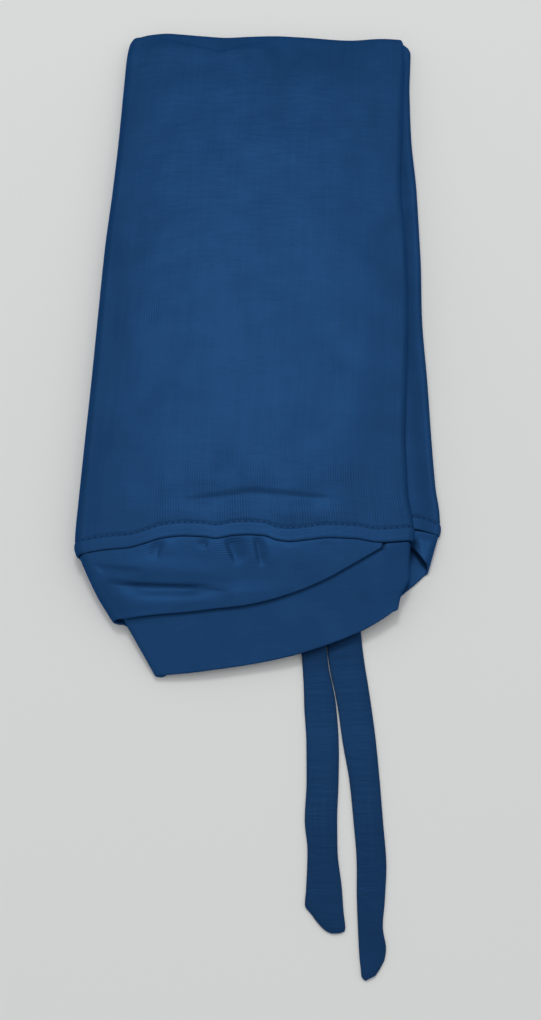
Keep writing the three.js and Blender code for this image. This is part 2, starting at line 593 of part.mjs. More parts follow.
const tieRightRows = [
  { lx: 25.2, ly: -47.3, rx: 36.4, ry: -47.3, z: 2.72, full: 1 },
  { lx: 25.2, ly: -49.6, rx: 36.4, ry: -49.6, z: 3.0, full: 1 },
  { lx: 25.3, ly: -53, rx: 36.5, ry: -53, z: 3.2, full: 1 },
  { lx: 25.4, ly: -70, rx: 36.9, ry: -70, z: 3.15, full: 1 },
  { lx: 25.6, ly: -82, rx: 37.3, ry: -81, z: 2.8, full: 1 },
  { lx: 25.4, ly: -94, rx: 38.0, ry: -92.5, z: 1.4, full: 1 },
  { lx: 26.1, ly: -102, rx: 38.8, ry: -101, z: 0.65, full: 1 },
  { lx: 27.4, ly: -109, rx: 39.7, ry: -108.4, z: 0.55, full: 1 },
  { lx: 28.4, ly: -116, rx: 40.5, ry: -115.6, z: 0.55, full: 1 },
  { lx: 30.0, ly: -130, rx: 41.8, ry: -130, z: 0.55, full: 1 },
  { lx: 32.0, ly: -144, rx: 42.6, ry: -144, z: 0.55, full: 1 },
  { lx: 33.0, ly: -158, rx: 43.2, ry: -158, z: 0.55, full: 1 },
  { lx: 33.7, ly: -172, rx: 43.8, ry: -172, z: 0.55, full: 1 },
  { lx: 33.4, ly: -185, rx: 42.8, ry: -185, z: 0.55, full: 1 },
  { lx: 33.5, ly: -195, rx: 41.8, ry: -194, z: 0.55, full: 1 },
  { lx: 33.7, ly: -203, rx: 42.6, ry: -200.5, z: 0.55, full: 1 },
  { lx: 34.0, ly: -207, rx: 42.1, ry: -203.8, z: 0.55, full: 1 },
  { lx: 34.2, ly: -209.6, rx: 40.6, ry: -206.8, z: 0.54, full: 0.92 },
  { lx: 35.4, ly: -211.0, rx: 38.8, ry: -209.4, z: 0.5, full: 0.65 },
];
function tie(name, rows, colour) {
  const points = [];
  const faces = [];
  const rings = rows.map((r) => {
    const middle = new THREE.Vector3((r.lx + r.rx) / 2, (r.ly + r.ry) / 2, r.z);
    const half = new THREE.Vector3((r.rx - r.lx) / 2, (r.ry - r.ly) / 2, 0);
    return tieProfile.map(([across, up]) =>
      middle.clone().addScaledVector(half, across).add(new THREE.Vector3(0, 0, (up * tieThick * r.full) / 2)),
    );
  });
  rings.forEach((ring) => points.push(...ring));
  const n = tieProfile.length;
  const at = (r, c) => r * n + (c % n);
  for (let r = 0; r < rows.length - 1; r++)
    for (let c = 0; c < n; c++) faces.push(...quad(at(r, c), at(r, c + 1), at(r + 1, c + 1), at(r + 1, c)));
  // fans over the seated end and the free end
  for (let c = 1; c < n - 1; c++) {
    faces.push([at(0, 0), at(0, c + 1), at(0, c)]);
    faces.push([at(rows.length - 1, 0), at(rows.length - 1, c), at(rows.length - 1, c + 1)]);
  }
  return meshOf(name, points, faces, jersey(colour));
}

// The cap.
const cap = new THREE.Group();
cap.name = "criss_cross_underscarf_cap";
cap.add(
  capBody(),
  frontBandOver(),
  frontBandUnder(),
  tie("tie_left", tieLeftRows, 0x1a3e6b),
  tie("tie_right", tieRightRows, 0x193c66),
);

export default cap;
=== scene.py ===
# Criss-cross underscarf cap of ocean-blue viscose jersey, lying flat and folded in half lengthwise.
# Sizes are in millimetres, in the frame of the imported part: the mouth is towards -Y, the closed crown
# towards +Y, and the long left edge is the fold at the middle of the forehead.
import math

import bpy
import numpy as np
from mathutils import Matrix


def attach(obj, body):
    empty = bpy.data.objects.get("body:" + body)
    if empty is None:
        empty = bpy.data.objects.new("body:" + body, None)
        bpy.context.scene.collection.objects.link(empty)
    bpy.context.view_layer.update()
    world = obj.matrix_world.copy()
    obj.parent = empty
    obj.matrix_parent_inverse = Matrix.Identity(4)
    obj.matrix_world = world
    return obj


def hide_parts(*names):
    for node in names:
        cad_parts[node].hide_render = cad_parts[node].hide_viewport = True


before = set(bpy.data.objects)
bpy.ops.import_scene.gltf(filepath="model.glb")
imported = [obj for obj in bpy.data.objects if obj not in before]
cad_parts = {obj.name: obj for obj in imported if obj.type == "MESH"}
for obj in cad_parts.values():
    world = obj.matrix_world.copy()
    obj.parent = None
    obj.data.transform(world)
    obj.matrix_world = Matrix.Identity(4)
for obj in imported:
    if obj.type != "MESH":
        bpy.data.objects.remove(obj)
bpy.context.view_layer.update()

# The tube of the cap: a front and a back panel of one jersey, joined at both sides and closed at the
# crown. Folded in half it makes four layers: 1 and 4 are the front panel, 2 and 3 the back panel. Its
# mouth is turned in and stitched down as a hem.
mm = 0.001
jersey_thick = 1.0
hem_line = -54.0
crown_line = 208.0
tube_length = crown_line - hem_line
hem_depth = 5.7
hem_proud = 0.2
lip_radius = 0.45


def through(*points):
    """The smooth line through (at, value) points, monotone between them and level beyond the ends."""
    at, value = np.array(points, float).T
    slope = np.diff(value) / np.diff(at)
    tangent = np.concatenate([slope[:1], np.zeros(len(at) - 2), slope[-1:]])
    one_way = np.flatnonzero(slope[:-1] * slope[1:] > 0)
    tangent[one_way + 1] = 2 * slope[one_way] * slope[one_way + 1] / (slope[one_way] + slope[one_way + 1])

    def value_at(x):
        x = np.clip(np.asarray(x, float), at[0], at[-1])
        i = np.clip(np.searchsorted(at, x, side="right") - 1, 0, len(slope) - 1)
        width = at[i + 1] - at[i]
        t = (x - at[i]) / width
        h = 1 - t
        return (
            value[i] * h * h * (1 + 2 * t) + value[i + 1] * t * t * (3 - 2 * t)
            + width * (tangent[i] * t * h * h - tangent[i + 1] * t * t * h)
        )

    return value_at


def mix(a, b, t):
    return a + (b - a) * t


def ease(t):
    """0 below 0, 1 above 1 and a soft step between."""
    t = np.clip(t, 0.0, 1.0)
    return t * t * (3 - 2 * t)


def even(count):
    return np.linspace(0, 1, count)[None, :]


def turning(count):
    """Angles of the points round a fold, between the last point before it and the first after it."""
    return np.pi * np.arange(1, count + 1)[None, :] / (count + 1)


# Edges of the folded tube: (y, x). The lower half's side fold peeks out beyond the upper half's.
forehead_fold = through(
    (-54, -68.3), (-50, -69.4), (-44, -69.6), (-32, -69.3), (-10, -68.6), (20, -67.6), (50, -66.9),
    (85, -66.0), (120, -64.2), (150, -63.1), (178, -62.5), (196, -62.1), (203, -61.5), (206, -60.9),
    (208, -60.1),
)
upper_side_fold = through(
    (-54, 57.9), (-50, 58.7), (-44, 58.3), (-32, 57.0), (-10, 57.1), (20, 59.0), (50, 60.9), (85, 61.8),
    (120, 61.0), (150, 62.8), (178, 64.8), (196, 66.2), (203, 66.3), (206, 66.1), (208, 65.8),
)
lower_side_fold = through(
    (-54, 68.7), (-50, 69.4), (-44, 69.4), (-32, 68.5), (-10, 68.1), (20, 67.9), (50, 67.3), (85, 68.3),
    (120, 68.4), (150, 67.5), (178, 68.0), (196, 69.2), (203, 69.6), (206, 68.8), (208, 67.4),
)
# The hem's edge on each layer: (x, y).
hem_edge = {
    4: through(
        (-67, -59.4), (-61.7, -58.4), (-55, -57.8), (-48.8, -57.5), (-42.7, -55.9), (-36.2, -53.8),
        (-28.6, -53.0), (-20.9, -53.4), (-16.1, -54.1), (-9.4, -52.8), (-3.7, -52.6), (2, -53.0),
        (6.8, -54.8), (11.5, -55.4), (17.2, -54.8), (25.9, -53.7), (35.4, -53.9), (44.9, -55.2),
        (50.7, -54.8), (57, -54.0),
    ),
    3: through((-60, -56.5), (-40, -50.0), (0, -47.2), (44, -48.0), (57, -54.0)),
    2: through((-60, -56.5), (-40, -49.0), (0, -47.0), (44, -46.3), (57, -46.2), (66, -47.8), (69, -50.0)),
    1: through(
        (-67, -59.4), (-60, -56.5), (-40, -50.5), (0, -48.0), (44, -46.8), (57, -46.4), (66, -48.2),
        (69, -50.0),
    ),
}
# How far the closed crown stands beyond its line: (x, distance).
crown_wave = through(
    (-60, 1.0), (-50.8, 4.0), (-43.8, 4.8), (-37, 4.2), (-27.5, 3.1), (-15.7, 2.1), (-6, 2.7), (5.7, 3.1),
    (19, 2.3), (41.7, 0.3), (56, 1.4), (66.4, 0.7),
)
# The hem's waves fade out towards the crown, and the crown's towards the hem: where, and over how much.
hem_wave_end = 72
hem_wave_fade = 64
crown_wave_end = 195
crown_wave_fade = 55
# Air inside the tube, by the distance s from the hem: in the upper half's middle, at its forehead fold
# and its side fold, and in the lower half.
upper_room = through(
    (0, 5.6), (30, 6.0), (90, 6.0), (170, 5.6), (220, 4.6), (245, 2.6), (257, 1.1), (262, 0.4),
)
forehead_room = through(
    (0, 2.8), (30, 3.0), (90, 3.0), (170, 2.8), (220, 2.3), (245, 1.4), (257, 0.7), (262, 0.35),
)
side_room = through(
    (0, 4.0), (30, 4.2), (90, 4.2), (170, 3.8), (220, 3.0), (245, 1.7), (257, 0.8), (262, 0.35),
)
lower_room = through((0, 1.2), (90, 1.2), (170, 1.1), (220, 0.9), (245, 0.6), (257, 0.4), (262, 0.3))
between_halves = 0.5
# The top layer is a low dome between its folds. The lower half holds less air beside its side fold.
dome_power = 2.8
side_fall = 0.75
side_fall_width = 7.0
# Unevenness of the loose upper layer: (height, size of the waves, seed). It and the folds fade out at both
# ends of the tube.
loose_waves = [(0.16, 46, 3), (0.07, 17, 8)]
end_fade = 12

# Folds (height above 0) and dents (below 0): (x1, y1, x2, y2, width right of the line, width left of it,
# height). A crease is steep on one side.
tube_folds = [
    (-42, -44, 30, -43, 5, 5, 0.3),
    (-27, -38, 0, -34.2, 4.5, 1.1, -0.5),
    (-6, -34.2, 26, -37.3, 4.5, 1.1, -0.5),
    (-42, -30, 30, -29, 5, 5, 0.2),
    (-50, 209.5, -21, 198.5, 12, 0.9, 1.4),
    (-18, 198, 2, 206.5, 12, 0.9, 1.2),
    (-60, 150, -20, 190, 9, 9, 0.3),
    (30, -44, 50, 60, 9, 9, 0.3),
    (-58, 30, -66, 110, 5, 5, -0.25),
    (-30, 60, 20, 66, 7, 7, -0.12),
    (-10, 120, 40, 108, 8, 8, -0.12),
]
fold_end_power = 4


def relief(folds, x, y):
    """Height of the folds and dents at a place. Each one fades out at both its ends and to both sides."""
    height = np.zeros(np.broadcast(x, y).shape)
    for x1, y1, x2, y2, right_width, left_width, high in folds:
        run = math.hypot(x2 - x1, y2 - y1)
        along = ((x - x1) * (x2 - x1) + (y - y1) * (y2 - y1)) / run**2
        across = ((x - x1) * (y2 - y1) - (y - y1) * (x2 - x1)) / run
        width = np.where(across > 0, right_width, left_width)
        height += high * np.exp(-(((along - 0.5) / 0.5) ** fold_end_power) - (across / width) ** 2)
    return height


slack_waves = 7
slack_evened = 4


def slack(x, y, size, seed):
    """Gentle unevenness of cloth that lies loose, mostly between -1 and 1: waves of about `size` that run
    in mixed directions."""
    rng = np.random.default_rng(seed)
    waves = [
        (rng.uniform(0, 2 * math.pi), rng.uniform(0.7, 1.5), rng.uniform(0, 2 * math.pi))
        for _ in range(slack_waves)
    ]
    total = sum(
        np.sin((x * math.cos(turn) + y * math.sin(turn)) * rate * 2 * math.pi / size + phase)
        for turn, rate, phase in waves
    )
    return total / slack_evened


def layer_y(layer, x, s):
    hem = (hem_edge[layer](x) - hem_line) * ease((hem_wave_end - s) / hem_wave_fade)
    return hem_line + s + hem + crown_wave(x) * ease((s - crown_wave_end) / crown_wave_fade)


floor_layer = jersey_thick / 2


def back_low(s):
    return floor_layer + jersey_thick + lower_room(s)


def back_beside(s, from_fold):
    return back_low(s) - side_fall * lower_room(s) * ease(1 - from_fold / side_fall_width)


def back_high(s):
    return back_low(s) + jersey_thick + between_halves


def front_high(s, f, x, y):
    """Height of the top layer, with f from 0 at the forehead fold to 1 at the side fold."""
    full = 1 - np.abs(2 * f - 1) ** dome_power
    soft = ease(s / end_fade) * ease((tube_length - s) / end_fade)
    loose = sum(high * slack(x, y, size, seed) for high, size, seed in loose_waves)
    at_folds = mix(forehead_room(s), side_room(s), f)
    return (
        back_high(s) + jersey_thick + mix(at_folds, upper_room(s), full)
        + (relief(tube_folds, x, y) + loose * full) * soft
    )


# How far each fold bulges, and how far inside the forehead fold the one at the nape lies.
forehead_reach = 3.3
nape_reach = 0.9
nape_inside = 4.6
upper_side_reach = 1.7
lower_side_reach = 1.2
# Points round the tube on each layer and fold. On layer 2 they crowd towards the side fold.
tube_columns = {4: 150, "forehead": 18, 1: 36, "lower side": 12, 2: 46, "nape": 8, 3: 30, "upper side": 12}
crowd_to_side = 1.8


def tube_rings(s, offset):
    """One closed ring of cloth for each distance s from the hem, set off its middle by `offset`."""
    s = s[:, None]
    line = hem_line + s
    left = forehead_fold(line) + jersey_thick / 2
    right = upper_side_fold(line) - jersey_thick / 2 - upper_side_reach
    low_right = lower_side_fold(line) - jersey_thick / 2 - lower_side_reach
    nape = left + nape_inside + nape_reach
    left = left + forehead_reach
    legs = []

    def flat(layer, x0, x1, height, crowd=1.0):
        f = even(tube_columns[layer]) ** crowd
        x = mix(x0, x1, f)
        y = layer_y(layer, x, s)
        legs.append((x, y, np.broadcast_to(height(f, x, y), x.shape)))

    def fold(name, layer_a, layer_b, centre, reach, side, z_a, z_b):
        turn = turning(tube_columns[name])
        part = (1 - np.cos(turn)) / 2
        x = centre + side * reach * np.sin(turn)
        y = mix(layer_y(layer_a, centre, s), layer_y(layer_b, centre, s), part)
        legs.append((x, y, mix(z_a, z_b, part)))

    def top(f, x):
        return front_high(s, f, x, layer_y(4, x, s))

    flat(4, right, left, lambda f, x, y: front_high(s, 1 - f, x, y))
    fold("forehead", 4, 1, left, forehead_reach, -1, top(0.0, left), floor_layer)
    flat(1, left, low_right, lambda f, x, y: floor_layer)
    fold("lower side", 1, 2, low_right, lower_side_reach, 1, floor_layer, back_beside(s, 0))
    flat(2, low_right, nape, lambda f, x, y: back_beside(s, low_right - x), crowd=crowd_to_side)
    fold("nape", 2, 3, nape, nape_reach, -1, back_low(s), back_high(s))
    flat(3, nape, right, lambda f, x, y: back_high(s))
    fold("upper side", 3, 4, right, upper_side_reach, 1, back_high(s), top(1.0, right))
    x, y, z = (np.concatenate(parts, axis=1) for parts in zip(*legs))
    dx = np.roll(x, -1, axis=1) - np.roll(x, 1, axis=1)
    dz = np.roll(z, -1, axis=1) - np.roll(z, 1, axis=1)
    length = np.hypot(dx, dz)
    x = x + offset * dz / length
    z = np.maximum(0.0, z - offset * dx / length)
    return np.stack([x, y, z], axis=-1)


def lip(distance, radius=lip_radius):
    """How full a cloth's half thickness is at a distance from its edge, which is rounded."""
    return np.sqrt(1 - (1 - np.clip(distance / radius, 0, 1)) ** 2)


def grid_quads(index):
    a, b, c, d = index[:-1, :-1], index[:-1, 1:], index[1:, 1:], index[1:, :-1]
    return np.stack([a, d, c, b], axis=-1).reshape(-1, 4)


def zip_ring(ring, top_middle, low_middle):
    """Triangles, as columns of the ring, that close the folded tube's end between its two panels."""
    n = len(ring)
    front = [(top_middle + i) % n for i in range((low_middle - top_middle) % n + 1)]
    back = [(top_middle - i) % n for i in range((top_middle - low_middle) % n + 1)]
    i = j = 0
    corners = []
    while i < len(front) - 1 or j < len(back) - 1:
        a, b = front[i], back[j]
        to_front = i < len(front) - 1 and (
            j == len(back) - 1
            or np.linalg.norm(ring[front[i + 1]] - ring[b]) <= np.linalg.norm(ring[back[j + 1]] - ring[a])
        )
        corner = front[i + 1] if to_front else back[j + 1]
        i, j = (i + 1, j) if to_front else (i, j + 1)
        if len({a, corner, b}) == 3:
            corners.append([a, b, corner])
    return np.array(corners)


def cloth_piece(name, points, faces, cloth_map, map_faces, finish):
    """A mesh in metres, with its place in the cloth, in millimetres, as the UV map "cloth"."""
    mesh = bpy.data.meshes.new(name)
    mesh.from_pydata((np.asarray(points) * mm).tolist(), [], faces)
    corners = np.concatenate([np.asarray(f) for f in map_faces])
    cloth_uv = mesh.uv_layers.new(name="cloth")
    cloth_uv.data.foreach_set("uv", np.asarray(cloth_map, float)[corners].ravel())
    mesh.polygons.foreach_set("use_smooth", np.ones(len(mesh.polygons), bool))
    mesh.materials.append(finish)
    mesh.update()
    piece = bpy.data.objects.new(name, mesh)
    bpy.context.scene.collection.objects.link(piece)
    return piece


class Tone:
    """A socket in a node tree. Arithmetic on it adds Math nodes."""

    def __init__(self, tree, socket=None):
        self.tree = tree
        self.socket = socket

    def node(self, kind, settings=None, inputs=None, output=0):
        made = self.tree.nodes.new(kind)
        for name, setting in (settings or {}).items():
            setattr(made, name, setting)
        for name, value in (inputs or {}).items():
            if isinstance(value, Tone):
                self.tree.links.new(value.socket, made.inputs[name])
            else:
                made.inputs[name].default_value = value
        return Tone(self.tree, made.outputs[output] if made.outputs else None)

    def maths(self, operation, *operands):
        return self.node("ShaderNodeMath", {"operation": operation}, dict(enumerate(operands)))

    def __add__(self, other):
        return self.maths("ADD", self, other)

    def __sub__(self, other):
        return self.maths("SUBTRACT", self, other)

    def __rsub__(self, other):
        return self.maths("SUBTRACT", other, self)

    def __mul__(self, other):
        return self.maths("MULTIPLY", self, other)

    __radd__ = __add__
    __rmul__ = __mul__

    def sine(self):
        return self.maths("SINE", self)

    def between(self, low, high):
        """0 at the low value, 1 at the high one and a soft step between."""
        settings = {"interpolation_type": "SMOOTHSTEP"}
        return self.node("ShaderNodeMapRange", settings, {"Value": self, "From Min": low, "From Max": high})

    def blended(self, low, high):
        """The colour between low and high at this value."""
        settings = {"data_type": "RGBA", "clamp_factor": True}
        return self.node("ShaderNodeMix", settings, {0: self, 6: (*low, 1), 7: (*high, 1)}, output=2)


# How far the knit's ribs are apart, how strongly each trait of the cloth lightens and raises it, how far
# its colour goes to either side of the middle one, and over what length a drawn stretch fades out.
wale_pitch = 0.98
# Of these, the crinkle streaks' lightening and the hem's lightening are painted highlight.
shade = {"patch": 0.7, "slub": 0.35, "fuzz": 0.45, "streak_and_painted_highlight": 0.2, "wale": 0.5, "hem": 0.14}
rise = {"wale": 0.4, "fuzz": 0.35, "streak_and_painted_highlight": 0.35, "crumple": 1.2}
colour_range = 0.25
drawn_fade = 4


def jersey(name, middle, wale_across_map=0, ribs=0.5, hem=0.0, drawn=(), drawn_depth=1, crinkle=1.0):
    """Single jersey of fine viscose, whose dyed fibres mirror light in their own colour. Its ribs (wales)
    are 1 mm apart across the given axis of the cloth map. They show where the cloth is drawn: in patches,
    and to `drawn_depth` from the seam, where the map's second axis is 0, along the stretches `drawn` of
    its first axis. Small crinkles run across them, raised and painted lighter, a painted highlight on their
    tops. `ribs` and `crinkle` say how strongly the patches and the crinkles show. The doubled hem, `hem`
    deep, is painted a little lighter: painted light for the light it catches."""
    material = bpy.data.materials.new(name)
    material.use_nodes = True
    tree = material.node_tree
    tree.nodes.clear()
    start = Tone(tree)
    cloth = start.node("ShaderNodeUVMap", {"uv_map": "cloth"})

    def place_on(axis):
        return start.node("ShaderNodeSeparateXYZ", inputs={0: cloth}, output=axis)

    across = place_on(wale_across_map)
    along = place_on(1 - wale_across_map)

    def cloudy(across_mm, along_mm, detail=2.0, seed=0.0):
        """Noise of about the given size across and along the wales, from 0 to 1."""
        scaled = {0: across * (1 / across_mm), 1: along * (1 / along_mm), 2: seed}
        place = start.node("ShaderNodeCombineXYZ", inputs=scaled)
        return start.node("ShaderNodeTexNoise", inputs={"Vector": place, "Scale": 1.0, "Detail": detail})

    wander = cloudy(9, 30, detail=1.0, seed=4.0)
    wale = (across * (2 * math.pi / wale_pitch) + wander * 5).sine() * 0.5 + 0.5
    along_seam = place_on(0)
    from_seam = place_on(1)
    patches = cloudy(22, 30, detail=1.0, seed=6.0).between(0.52, 0.64) * ribs + 0.04
    seam_patches = cloudy(12, 12, detail=1.0, seed=11.0).between(0.4, 0.56)
    shown = patches
    for first, last in drawn:
        to_last = along_seam.between(last + drawn_fade, last)
        stretch = along_seam.between(first - drawn_fade, first) * to_last
        shown = shown + from_seam.between(2 * drawn_depth, drawn_depth) * stretch * seam_patches
    shown = shown * from_seam.between(hem - 0.5, hem + 1.0)
    slub = cloudy(1.6, 40, seed=1.0)
    patch = cloudy(16, 18, seed=2.0)
    fuzz = cloudy(0.5, 0.6, seed=3.0)
    crinkled = cloudy(26, 20, detail=1.0, seed=8.0).between(0.44, 0.6)
    # The crinkle streaks are raised, and also painted lighter in colour: a painted highlight on their tops.
    streak_and_painted_highlight = cloudy(5.5, 0.8, detail=1.5, seed=7.0).between(0.6, 0.72) * crinkled * crinkle
    crumple = cloudy(9, 2.6, seed=9.0)
    # The hem band is painted lighter: painted light, not a colour of the cloth.
    hem_painted_light = from_seam.between(hem, hem - 1.5)
    lightness = (
        0.5 + (patch - 0.5) * shade["patch"] + (slub - 0.5) * shade["slub"] + (fuzz - 0.5) * shade["fuzz"]
        + streak_and_painted_highlight * shade["streak_and_painted_highlight"] + (wale - 0.5) * shown * shade["wale"] + hem_painted_light * shade["hem"]
    )
    darkest = [c * (1 - colour_range) for c in middle]
    lightest = [c * (1 + colour_range) for c in middle]
    colour = lightness.blended(darkest, lightest)
    height = (
        wale * shown * rise["wale"] + fuzz * rise["fuzz"] + streak_and_painted_highlight * rise["streak_and_painted_highlight"]
        + crumple * rise["crumple"] * crinkle
    )
    bump = start.node("ShaderNodeBump", inputs={"Strength": 0.5, "Distance": 0.2 * mm, "Height": height})
    surface = start.node(
        "ShaderNodeBsdfPrincipled",
        inputs={
            "Base Color": colour,
            "Metallic": 0.48,
            "Roughness": 0.42 + fuzz * 0.1,
            "Normal": bump,
            "Specular IOR Level": 0.0,
            "Specular Tint": (0.2, 0.5, 1.0, 1),
        },
    )
    start.node("ShaderNodeOutputMaterial", inputs={"Surface": surface})
    return material


body_jersey = jersey(
    "body_jersey", middle=(0.0124, 0.0505, 0.140), hem=hem_depth, drawn=[(0, 92)], drawn_depth=20,
)

# Rows of points by their distance from the hem, close together at the hem and at the crown: the rounded
# edge's, then (from, to, step), then the crown's. The inner side has fewer and ends at the crown's seam.
lip_rows = lip_radius * (1 - np.cos(np.linspace(0, math.pi / 2, 5)))
row_steps = [(0.95, 9.0, 0.42), (9.2, 26, 0.6), (26.5, 40, 1.1), (40.5, 236, 1.9)]
crown_rows = np.linspace(236.5, tube_length, 46)
outer_rows = np.concatenate([lip_rows, *(np.arange(*steps) for steps in row_steps), crown_rows])
crown_seam = 4.0
inner_hem_rows = [2.5, 5, 9]
inner_even_rows = np.linspace(14, tube_length - crown_seam, 36)
inner_rows = np.concatenate([lip_rows, inner_hem_rows, inner_even_rows])
columns_round = sum(tube_columns.values())

# The doubled hem stands proud, its stitching pulls in a groove, and the cloth thins to its crown's end.
hem_step_past = 0.5
hem_step_width = 0.9
groove_depth = 0.34
groove_width = 0.55
crown_share = 0.25
crown_round_length = 2.5
from_hem = outer_rows[:, None]
doubled = hem_proud * ease((hem_depth + hem_step_past - from_hem) / hem_step_width)
pulled_in = groove_depth * np.exp(-(((from_hem - hem_depth) / groove_width) ** 2))
crown_round = mix(crown_share, 0.5, ease((tube_length - from_hem) / crown_round_length)) * jersey_thick
outer_face = tube_rings(outer_rows, (crown_round + doubled - pulled_in) * lip(from_hem))
inner_face = tube_rings(inner_rows, -jersey_thick / 2 * lip(inner_rows[:, None]))

# The cloth map counts round the tube near the middle of its length, and along it from the hem.
map_ring_at = 120
map_ring = outer_face[np.searchsorted(outer_rows, map_ring_at)]
map_ring = np.concatenate([map_ring, map_ring[:1]])
round_tube = np.concatenate([[0], np.cumsum(np.linalg.norm(np.diff(map_ring, axis=0), axis=1))])


def numbered(rows, columns, start=0):
    return start + np.arange(rows * columns).reshape(rows, columns)


def map_grid(across, along):
    return np.stack(np.broadcast_arrays(across, along), axis=-1).reshape(-1, 2)


def ring_closed(index):
    return np.concatenate([index, index[:, :1]], axis=1)


top_middle = columns_round - tube_columns["upper side"] // 2
low_middle = tube_columns[4] + tube_columns["forehead"] + tube_columns[1] + tube_columns["lower side"] // 2
outer_cap = zip_ring(outer_face[-1], top_middle, low_middle)
inner_cap = zip_ring(inner_face[-1], top_middle, low_middle)[:, ::-1]


def tube_faces(outer, inner):
    """The faces of both sides of the cloth and of their closed ends, from the numbers of their points."""
    return [
        *grid_quads(outer).tolist(), *grid_quads(inner)[:, ::-1].tolist(),
        *outer[-1][outer_cap].tolist(), *inner[-1][inner_cap].tolist(),
    ]


outer_index = numbered(len(outer_rows), columns_round)
inner_own = numbered(len(inner_rows) - 1, columns_round, outer_index.size)
inner_index = np.concatenate([outer_index[:1], inner_own])
outer_map = numbered(len(outer_rows), columns_round + 1)
inner_map = numbered(len(inner_rows), columns_round + 1, outer_map.size)
tube = cloth_piece(
    "jersey_tube",
    np.concatenate([outer_face.reshape(-1, 3), inner_face[1:].reshape(-1, 3)]),
    tube_faces(ring_closed(outer_index), ring_closed(inner_index)),
    np.concatenate([map_grid(round_tube[None, :], rows[:, None]) for rows in (outer_rows, inner_rows)]),
    tube_faces(outer_map, inner_map),
    body_jersey,
)
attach(tube, "root")
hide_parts("cap_body")

# The hem's topstitch: one row of short straight stitches of dark thread, pulled into the jersey all round
# the mouth, each between two needle holes.
stitch_pitch = 2.3
stitch_long = 1.2
thread_wide = 0.32
thread_high = 0.22
thread_above_groove = 0.1

thread = bpy.data.materials.new("stitch_thread")
thread.use_nodes = True
thread_shader = thread.node_tree.nodes["Principled BSDF"]
thread_shader.inputs["Base Color"].default_value = (0.0028, 0.015, 0.056, 1)
thread_shader.inputs["Roughness"].default_value = 0.6
thread_shader.inputs["Specular IOR Level"].default_value = 0.15

hem_proud_at_groove = hem_proud * 0.4
groove_offset = jersey_thick * 0.5 + hem_proud_at_groove - groove_depth + thread_above_groove
groove_ring = tube_rings(np.array([hem_depth]), groove_offset)[0]
line = bpy.data.curves.new("stitch_line", "CURVE")
line.dimensions = "3D"
spline = line.splines.new("POLY")
spline.points.add(len(groove_ring) - 1)
spline.points.foreach_set("co", np.column_stack([groove_ring * mm, np.ones(len(groove_ring))]).ravel())
spline.use_cyclic_u = True
stitches = bpy.data.objects.new("hem_topstitch", line)
bpy.context.scene.collection.objects.link(stitches)

tree = bpy.data.node_groups.new("stitches_along_a_line", "GeometryNodeTree")
for name, kind, way in (
    ("Line", "NodeSocketGeometry", "INPUT"), ("Pitch", "NodeSocketFloat", "INPUT"),
    ("Length", "NodeSocketFloat", "INPUT"), ("Width", "NodeSocketFloat", "INPUT"),
    ("Height", "NodeSocketFloat", "INPUT"), ("Thread", "NodeSocketMaterial", "INPUT"),
    ("Stitches", "NodeSocketGeometry", "OUTPUT"),
):
    tree.interface.new_socket(name, in_out=way, socket_type=kind)
sewing_nodes = Tone(tree)


def asked(name):
    """The tree's own input of that name."""
    group = tree.nodes.new("NodeGroupInput")
    return Tone(tree, group.outputs[name])


points = sewing_nodes.node(
    "GeometryNodeCurveToPoints", {"mode": "LENGTH"}, {"Curve": asked("Line"), "Length": asked("Pitch")},
)
tangent = Tone(tree, points.socket.node.outputs["Tangent"])
turned = sewing_nodes.node("FunctionNodeAlignRotationToVector", {"axis": "X"}, {"Vector": tangent})
half_size = {0: asked("Length") * 0.5, 1: asked("Width") * 0.5, 2: asked("Height") * 0.5}
size = sewing_nodes.node("ShaderNodeCombineXYZ", None, half_size)
one_stitch = sewing_nodes.node(
    "GeometryNodeMeshUVSphere", None, {"Segments": 8, "Rings": 6, "Radius": 1.0},
)
lying = sewing_nodes.node(
    "GeometryNodeTransform", None, {"Geometry": one_stitch, "Rotation": (0, math.pi / 2, 0)},
)
placed = sewing_nodes.node(
    "GeometryNodeInstanceOnPoints", None,
    {"Points": points, "Instance": lying, "Rotation": turned, "Scale": size},
)
real = sewing_nodes.node("GeometryNodeRealizeInstances", None, {"Geometry": placed})
dressed = sewing_nodes.node("GeometryNodeSetMaterial", None, {"Geometry": real, "Material": asked("Thread")})
sewing_nodes.node("NodeGroupOutput", None, {"Stitches": dressed})

sewing = stitches.modifiers.new("stitching", "NODES")
sewing.node_group = tree
sewing_values = {
    "Pitch": stitch_pitch * mm, "Length": stitch_long * mm, "Width": thread_wide * mm,
    "Height": thread_high * mm, "Thread": thread,
}
for item in tree.interface.items_tree:
    if item.name in sewing_values:
        sewing[item.identifier] = sewing_values[item.name]
evaluated = stitches.evaluated_get(bpy.context.evaluated_depsgraph_get())
sewn = bpy.data.meshes.new_from_object(evaluated)
bpy.data.objects.remove(stitches)
topstitch = bpy.data.objects.new("hem_topstitch", sewn)
bpy.context.scene.collection.objects.link(topstitch)
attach(topstitch, "root")

# The outer front band: a doubled strip of the same jersey, its ribs running along it. It is gathered into
# the hem, crosses over the inner band at the forehead, and on the floor side wraps round the side fold.
band_thick = 1.0
seam_gap = 0.1
# Its own fold at the forehead: (y, x).
outer_band_fold = through(
    (-86, -51.6), (-84.2, -53.7), (-80.5, -56.1), (-75.6, -59.2), (-67.5, -63.4), (-58.5, -67.5),
)
